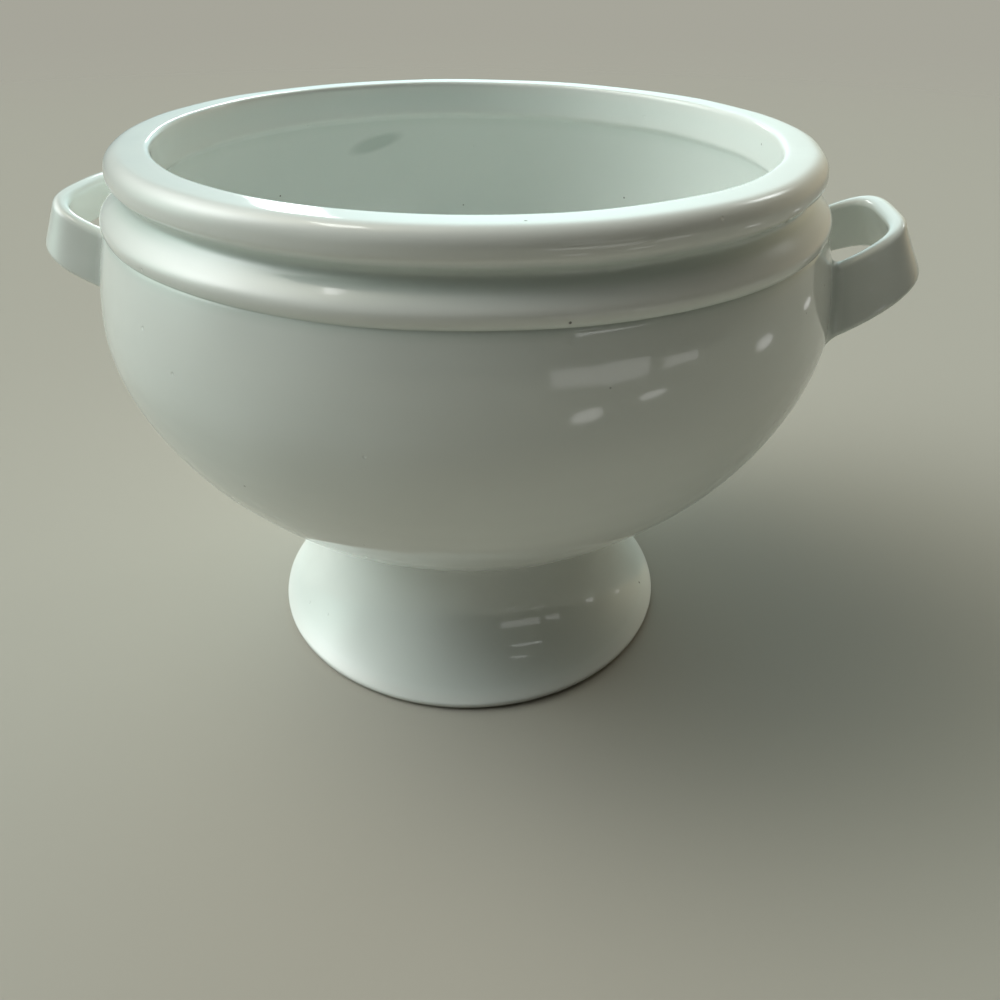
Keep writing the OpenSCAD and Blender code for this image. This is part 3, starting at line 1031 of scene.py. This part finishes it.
@dataclass(frozen=True)
class Glaze:
    """Glossy white glaze with a cool green cast over pale stoneware.

    Attributes:
        name: The material's name.
        white: Colour of the glaze where it lies even.
        pooled: Colour where it has run together in a hollow.
        thin: Colour where it has drawn back over an edge and the clay warms it.
        speck: Colour of a speck of iron in it.
        thumb: Colour in the middle of the oval mark.
        metal: Colour that cutlery leaves.
        clay: Colour of the bare clay.
        soil: Colour of the bare clay's soiled patches.
        gloss: Roughness of the even glaze.
        index: Its index of refraction.
        drift_step: Distance between two broad drifts of its colour.
        fine_step: Distance between two fine ones.
        ring_step: Distance between two throwing rings.
        ring_h: Height of a throwing ring.
        peel_step: Distance between two bumps of its orange-peel skin.
        peel_h: Height of such a bump.
        pit_h: Depth of a pit.
        thumb_h: Depth of the oval mark.
        grain_h: Height of the bare clay's grain.
        bare_below: Height under which the clay is bare, or 0 for none.
        thumb_mark: Whether the glaze has the soft oval mark inside the bowl.
        use_marks: Whether cutlery has left faint grey marks on the floor of the bowl.
    """

    name: str
    white: tuple[float, float, float] = (0.865, 0.905, 0.875)
    pooled: tuple[float, float, float] = (0.76, 0.825, 0.78)
    thin: tuple[float, float, float] = (0.88, 0.90, 0.87)
    speck: tuple[float, float, float] = (0.10, 0.085, 0.07)
    thumb: tuple[float, float, float] = (0.47, 0.55, 0.50)
    metal: tuple[float, float, float] = (0.33, 0.34, 0.33)
    clay: tuple[float, float, float] = (0.62, 0.56, 0.47)
    soil: tuple[float, float, float] = (0.30, 0.26, 0.21)
    gloss: float = 0.075
    index: float = 1.53
    drift_step: float = 0.041
    fine_step: float = 0.0085
    ring_step: float = 0.0046
    ring_h: float = 0.000012
    peel_step: float = 0.0055
    peel_h: float = 0.000022
    pit_h: float = 0.00010
    thumb_h: float = 0.00022
    grain_h: float = 0.00012
    bare_below: float = 0.0
    thumb_mark: bool = False
    use_marks: bool = False

    def _marked(self, shader: Shader) -> Number:
        """The soft oval mark on the inner wall, 1 in its middle."""
        centre, right_end = Vector((-0.0302, 0.0526, 0.0879)), Vector((-0.0250, 0.0546, 0.0894))
        away = shader.oval(centre, right_end - centre, long=0.0086, broad=0.0027)
        return 1 - away.step(0.45, 1.0)

    def _scored(self, shader: Shader) -> Number:
        """Marks of cutlery on the floor of the bowl, 1 where they are strongest.

        Fine noise drawn out along X gives one set of streaks and along Y another. They fade out
        towards the bowl's wall.

        Args:
            shader: The glaze's tree.

        Returns:
            The mask.
        """
        x, y, z = shader.axes()
        lengthwise = shader.noise(0.0011, 2.0, 0.6, shader.stretched((0.05, 1.0, 1.0))).step(0.66, 0.74)
        across = shader.noise(0.0012, 2.0, 0.6, shader.stretched((1.0, 0.06, 1.0))).step(0.67, 0.75)
        low = 1 - z.step(0.034, 0.043)
        inside = 1 - (x * x + y * y).step(0.030**2, 0.046**2)
        return (lengthwise + across).clipped() * low * inside

    def _bare(self, shader: Shader, height: Number) -> Number:
        """The bare clay under an uneven edge of glaze, 1 where it is bare."""
        edge = height + (shader.noise(0.0026, 2.0, 0.6) - 0.5) * 0.0007
        return 1 - edge.step(self.bare_below - 0.00012, self.bare_below + 0.00012)

    def _clay(self, shader: Shader, grain: Number) -> bpy.types.NodeSocket:
        """Colour of the bare clay, grainy and soiled in broad patches."""
        dark, pale = ((*(part * share for part in self.clay), 1) for share in (0.86, 1.1))
        soiled = shader.noise(0.012, 3.0, 0.6).step(0.5, 0.72)
        return shader.mix(soiled * 0.5, shader.mix(grain, dark, pale), (*self.soil, 1))

    def build(self) -> bpy.types.Material:
        """Mixes the glaze.

        Its colour goes from thin through even to pooled by the mesh's own glaze_pool, with broad cloudy
        drifts, and specks show as dark points. Its normal has throwing rings, an orange-peel skin, and
        pits under the specks and beside them.

        Returns:
            The material.
        """
        shader = Shader(bpy.data.materials.new(self.name))
        height = shader.axes()[2]
        drift = shader.noise(self.drift_step, 3.0, 0.55)
        fine = shader.noise(self.fine_step, 2.0, 0.5)
        depth = shader.attribute(POOL) + (drift - 0.5) * 0.5 + (fine - 0.5) * 0.16
        specks = shader.spots(size=0.0060, share=0.26, radius=0.00030, seed=(0.31, 0.17, 0.05))
        pits = shader.spots(size=0.0052, share=0.24, radius=0.00040, seed=(0.09, 0.41, 0.23))
        rings = (height * (2 * math.pi / self.ring_step) + (drift - 0.5) * 9).sine() * 0.5 + 0.5
        colour = shader.mix((depth * 1.15).clipped(), (*self.white, 1), (*self.pooled, 1))
        colour = shader.mix((-depth * 0.95).clipped(), colour, (*self.thin, 1))
        colour = shader.mix(specks * 0.85, colour, (*self.speck, 1))
        rough = self.gloss + (fine - 0.5) * 0.05 + (pits + specks) * 0.2
        normal = shader.bump(rings, self.ring_h)
        normal = shader.bump(shader.noise(self.peel_step, 1.0, 0.4), self.peel_h, normal)
        if self.thumb_mark:
            mark = self._marked(shader)
            colour = shader.mix(mark * 0.5, colour, (*self.thumb, 1))
            rough = rough + mark * 0.05
            normal = shader.bump(1 - mark, self.thumb_h, normal)
        if self.use_marks:
            grey = self._scored(shader)
            colour = shader.mix(grey * 0.28, colour, (*self.metal, 1))
            rough = rough + grey * 0.16
        if self.bare_below:
            bare, grain = self._bare(shader, height), shader.noise(0.0005, 3.0, 0.7)
            colour = shader.mix(bare, colour, self._clay(shader, grain))
            rough = rough * (1 - bare) + bare * 0.82
            normal = shader.bump(grain * bare, self.grain_h, normal)
        normal = shader.bump(1 - (pits + specks).clipped(), self.pit_h, normal)
        finish = {"Base Color": colour, "Roughness": rough, "IOR": self.index, "Normal": normal}
        return shader.finished(finish)


@dataclass(frozen=True)
class Camera:
    """The camera that took the photograph, whose picture is 1000 by 1000 pixels.

    Attributes:
        eye: Its place.
        pitch: How far it looks down, in degrees.
        pan: How far it looks to the right of +Y, in degrees.
        roll: How far it is turned clockwise about its own axis, in degrees.
        focal_px: Its focal length in pixels.
        middle_px: Where its axis meets the picture, from the left and from the top.
        picture_px: The picture's width and height.
        sensor_mm: Width of its sensor.
        sees: The nearest and the farthest distance that it sees.
    """

    eye: tuple[float, float, float] = (0.02055, -0.17389, 0.1369)
    pitch: float = 22.84
    pan: float = -4.72
    roll: float = 0.76
    focal_px: float = 925.06
    middle_px: tuple[float, float] = (500.69, 321.26)
    picture_px: float = 1000.0
    sensor_mm: float = 36.0
    sees: tuple[float, float] = (0.005, 50.0)

    def build(self) -> None:
        """Makes the camera and sets it as the scene's own."""
        pitch, pan = math.radians(self.pitch), math.radians(self.pan)
        ahead = Vector((math.sin(pan) * math.cos(pitch), math.cos(pan) * math.cos(pitch), -math.sin(pitch)))
        turn = ahead.to_track_quat("-Z", "Y").to_matrix().to_4x4()
        turn = turn @ Matrix.Rotation(math.radians(self.roll), 4, "Z")
        data = bpy.data.cameras.new("photo_camera")
        data.sensor_width = self.sensor_mm
        data.lens = self.focal_px / self.picture_px * self.sensor_mm
        data.shift_x = 0.5 - self.middle_px[0] / self.picture_px
        data.shift_y = self.middle_px[1] / self.picture_px - 0.5
        data.clip_start, data.clip_end = self.sees
        camera = bpy.data.objects.new("photo_camera", data)
        camera.matrix_world = Matrix.Translation(self.eye) @ turn
        bpy.context.scene.collection.objects.link(camera)
        bpy.context.scene.camera = camera


@dataclass(frozen=True)
class Pane:
    """A small panel of light that only shows as a reflection, as a far lamp's does.

    Attributes:
        azimuth: Its direction from the axis, in degrees from +X towards +Y.
        height: Height of its middle.
        size: Its width and height, or its width and depth where it lies flat.
        strength: How bright it looks, where 1 is white.
        radius: Its distance from the axis.
        oval: True for a rounded panel.
        flat: True for a panel that lies on the floor and faces up. The others stand and face the axis.
    """

    azimuth: float
    height: float
    size: tuple[float, float]
    strength: float
    radius: float = 0.33
    oval: bool = False
    flat: bool = False

    def build(self, name: str) -> None:
        """Hangs the panel in the scene. Its power is strength * pi * area."""
        shape, fill = ("ELLIPSE", math.pi / 4) if self.oval else ("RECTANGLE", 1.0)
        turn = math.radians(self.azimuth)
        out = Vector((math.cos(turn), math.sin(turn), 0))
        data = bpy.data.lights.new(name, "AREA")
        data.shape = shape
        data.size, data.size_y = self.size
        data.energy = self.strength * math.pi * fill * self.size[0] * self.size[1]
        lamp = bpy.data.objects.new(name, data)
        lamp.location = out * self.radius + Vector((0, 0, self.height))
        lamp.rotation_mode = "QUATERNION"
        lamp.rotation_quaternion = (Vector((0, 0, 1)) if self.flat else -out).to_track_quat("-Z", "Y")
        lamp.visible_camera = lamp.visible_diffuse = False
        bpy.context.scene.collection.objects.link(lamp)


@dataclass(frozen=True)
class Glow:
    """A broad patch of light in the room, strength * max(0, cos(angle from its middle)) ^ sharpness.

    Attributes:
        azimuth: Direction of its middle, in degrees from +X towards +Y.
        elevation: Its height over the horizon, in degrees.
        sharpness: How narrow it is.
        strength: Its strength.
        tint: Its colour.
    """

    azimuth: float
    elevation: float
    sharpness: float
    strength: float
    tint: tuple[float, float, float]

    def direction(self) -> Vector:
        """Direction of its middle."""
        turn, rise = math.radians(self.azimuth), math.radians(self.elevation)
        return Vector((math.cos(turn) * math.cos(rise), math.sin(turn) * math.cos(rise), math.sin(rise)))


@dataclass(frozen=True)
class Studio:
    """A plain pale floor in a room whose light comes from the left and behind.

    Attributes:
        floor_r: Radius of the floor.
        drop: How far the floor lies under the foot's ring, so that the two don't flicker.
        fade: Distances from the middle between which the floor fades into the backdrop.
        floor_tone: The floor's colour.
        backdrop_tone: The colour behind and around it, as the camera sees it.
    """

    floor_r: float = 1.6
    drop: float = 0.00004
    fade: tuple[float, float] = (0.30, 1.3)
    floor_tone: tuple[float, float, float] = (0.50, 0.475, 0.425)
    backdrop_tone: tuple[float, float, float] = (0.385, 0.38, 0.325)

    def _floor(self) -> None:
        """Lays a round sheet that fades out with distance."""
        sides = 128
        angle = np.linspace(0, 2 * math.pi, sides, endpoint=False)
        edge = np.stack([np.cos(angle), np.sin(angle), np.zeros(sides)], axis=-1) * self.floor_r
        mesh = bpy.data.meshes.new("floor")
        mesh.from_pydata((edge - np.array([0, 0, self.drop])).tolist(), [], [list(range(sides))])
        floor = bpy.data.objects.new("floor", mesh)
        bpy.context.scene.collection.objects.link(floor)
        shader = Shader(bpy.data.materials.new("pale_floor"))
        gone = shader.distance((0.0, 0.0, 0.0)).step(*self.fade)
        finish = {"Base Color": (*self.floor_tone, 1), "Roughness": 0.9, "Specular IOR Level": 0.0}
        mesh.materials.append(shader.finished(finish, gone))

    def _world(self, glows: Sequence[Glow]) -> None:
        """Lights the room with glows, and shows the camera a plain backdrop.

        Args:
            glows: The glows.
        """
        shader = Shader(bpy.data.worlds.new("room"), "Generated")
        bpy.context.scene.world = shader.owner
        light: Any = (0.0, 0.0, 0.0)
        for glow in glows:
            facing = shader.along(glow.direction()).clipped() ** glow.sharpness
            full = tuple(glow.strength * part for part in glow.tint)
            scaled = {"Vector": full, "Scale": facing}
            lit = shader.node("ShaderNodeVectorMath", {"operation": "SCALE"}, scaled).outputs[0]
            light = shader.node("ShaderNodeVectorMath", {"operation": "ADD"}, {0: lit, 1: light}).outputs[0]
        room = shader.node("ShaderNodeBackground", {}, {"Color": light})
        shown = shader.node("ShaderNodeBackground", {}, {"Color": (*self.backdrop_tone, 1)})
        camera = shader.node("ShaderNodeLightPath").outputs["Is Camera Ray"]
        mixed = shader.node("ShaderNodeMixShader", {}, {0: camera, 1: room.outputs[0], 2: shown.outputs[0]})
        shader.node("ShaderNodeOutputWorld", {}, {"Surface": mixed.outputs[0]})

    def build(self) -> None:
        """Sets up the floor, the room's glows and the small panes that only show as reflections."""
        bpy.context.scene.view_settings.view_transform = "Standard"
        self._floor()
        daylight, leafy = (0.97, 1.03, 1.015), (0.72, 1.0, 0.88)
        cool, warm = (0.72, 1.0, 1.02), (1.13, 1.0, 0.70)
        glows = (
            # The main light on the left, with weaker ones beside, over and under it
            Glow(180, 38, 20, 5.8, daylight),
            Glow(150, 38, 20, 2.0, daylight),
            Glow(165, 65, 20, 1.5, warm),
            Glow(178, 12, 20, 1.7, leafy),
            # A little from straight above
            Glow(0, 90, 6, 0.22, daylight),
            # The far side of the room
            Glow(95, 12, 14, 1.7, cool),
            Glow(90, 38, 20, 1.35, cool),
            # A weak light on the far right, and a small bright one over it
            Glow(45, 8, 6, 0.75, warm),
            Glow(48, 32, 300, 6.0, daylight),
        )
        self._world(glows)
        panes = (
            # Low on the near right: two upright panels and two gleams on the floor
            Pane(309, 0.047, (0.150, 0.030), 1.1),
            Pane(331, 0.042, (0.060, 0.020), 1.1),
            Pane(305, 0.001, (0.044, 0.026), 2.2, 0.272, oval=True, flat=True),
            Pane(323, 0.001, (0.060, 0.034), 2.0, 0.316, oval=True, flat=True),
            # Higher on the near right: two thin streaks
            Pane(312, 0.124, (0.110, 0.010), 2.2),
            Pane(306, 0.190, (0.060, 0.010), 2.2),
            # Low on the right: two small gleams
            Pane(1, 0.012, (0.040, 0.011), 1.8, oval=True),
            Pane(24, 0.014, (0.030, 0.012), 1.2, oval=True),
            # High on the left and at the back: two bright panels
            Pane(181, 0.656, (0.160, 0.220), 6.0, 0.230),
            Pane(112, 0.279, (0.050, 0.120), 8.0, 0.515),
        )
        for number, pane in enumerate(panes):
            pane.build(f"pane_{number}")


def dress(piece: bpy.types.Object, finish: bpy.types.Material, node: str) -> None:
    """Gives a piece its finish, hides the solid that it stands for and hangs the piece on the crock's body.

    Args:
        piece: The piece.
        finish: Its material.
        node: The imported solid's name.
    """
    piece.data.materials.append(finish)
    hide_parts(node)
    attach(piece, BODY)


def build_crock() -> None:
    """Builds and dresses every clay part of the crock."""
    hand = Unevenness()
    bowl = Bowl.from_frame()
    foot = Foot.from_frame(bowl)
    bowl_glaze = Glaze("bowl_glaze", thumb_mark=True, use_marks=True).build()
    foot_glaze = Glaze("foot_glaze", bare_below=0.00035).build()
    strap_glaze = Glaze("handle_glaze").build()

    def add(surface: Surface, name: str, finish: bpy.types.Material, node: str) -> None:
        """Shifts a surface by the shared unevenness, makes it a piece and dresses it."""
        dress(replace(surface, points=hand.shifted(surface.points)).to_object(name), finish, node)

    add(bowl.outline().turned(), "bowl", bowl_glaze, "bowl_body")
    add(foot.outline().turned(), "foot", foot_glaze, "pedestal_foot")
    add(foot.luting(bowl), "neck_fillet", strap_glaze, "neck_luting")
    handles = (
        Handle(
            Side.RIGHT, bowl, reach=0.0114, span=0.0146, rise=0.0087, strap_h=0.0123, flare=0.0042, tilt=29.0
        ),
        Handle(
            Side.LEFT, bowl, reach=0.0106, span=0.0166, rise=0.0111, strap_h=0.0104, flare=0.0029, tilt=22.0
        ),
    )
    for handle in handles:
        add(handle.strap(), f"{handle.name}_strap", strap_glaze, f"{handle.name}_handle")
        for end in End:
            word = end.name.lower()
            node = f"{handle.name}_handle_slip_{word}"
            add(handle.root(end), f"{handle.name}_root_{word}", strap_glaze, node)


def corners(box: tuple[Vector, Vector]) -> list[list[float]]:
    """A box's two corners as plain lists."""
    return [[float(v) for v in corner] for corner in box]


def main() -> None:
    """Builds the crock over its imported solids, then the studio and the camera."""
    logging.basicConfig(level=logging.INFO, format="%(name)s: %(message)s")
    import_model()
    build_crock()
    Studio().build()
    Camera().build()


if __name__ == "__main__":
    main()
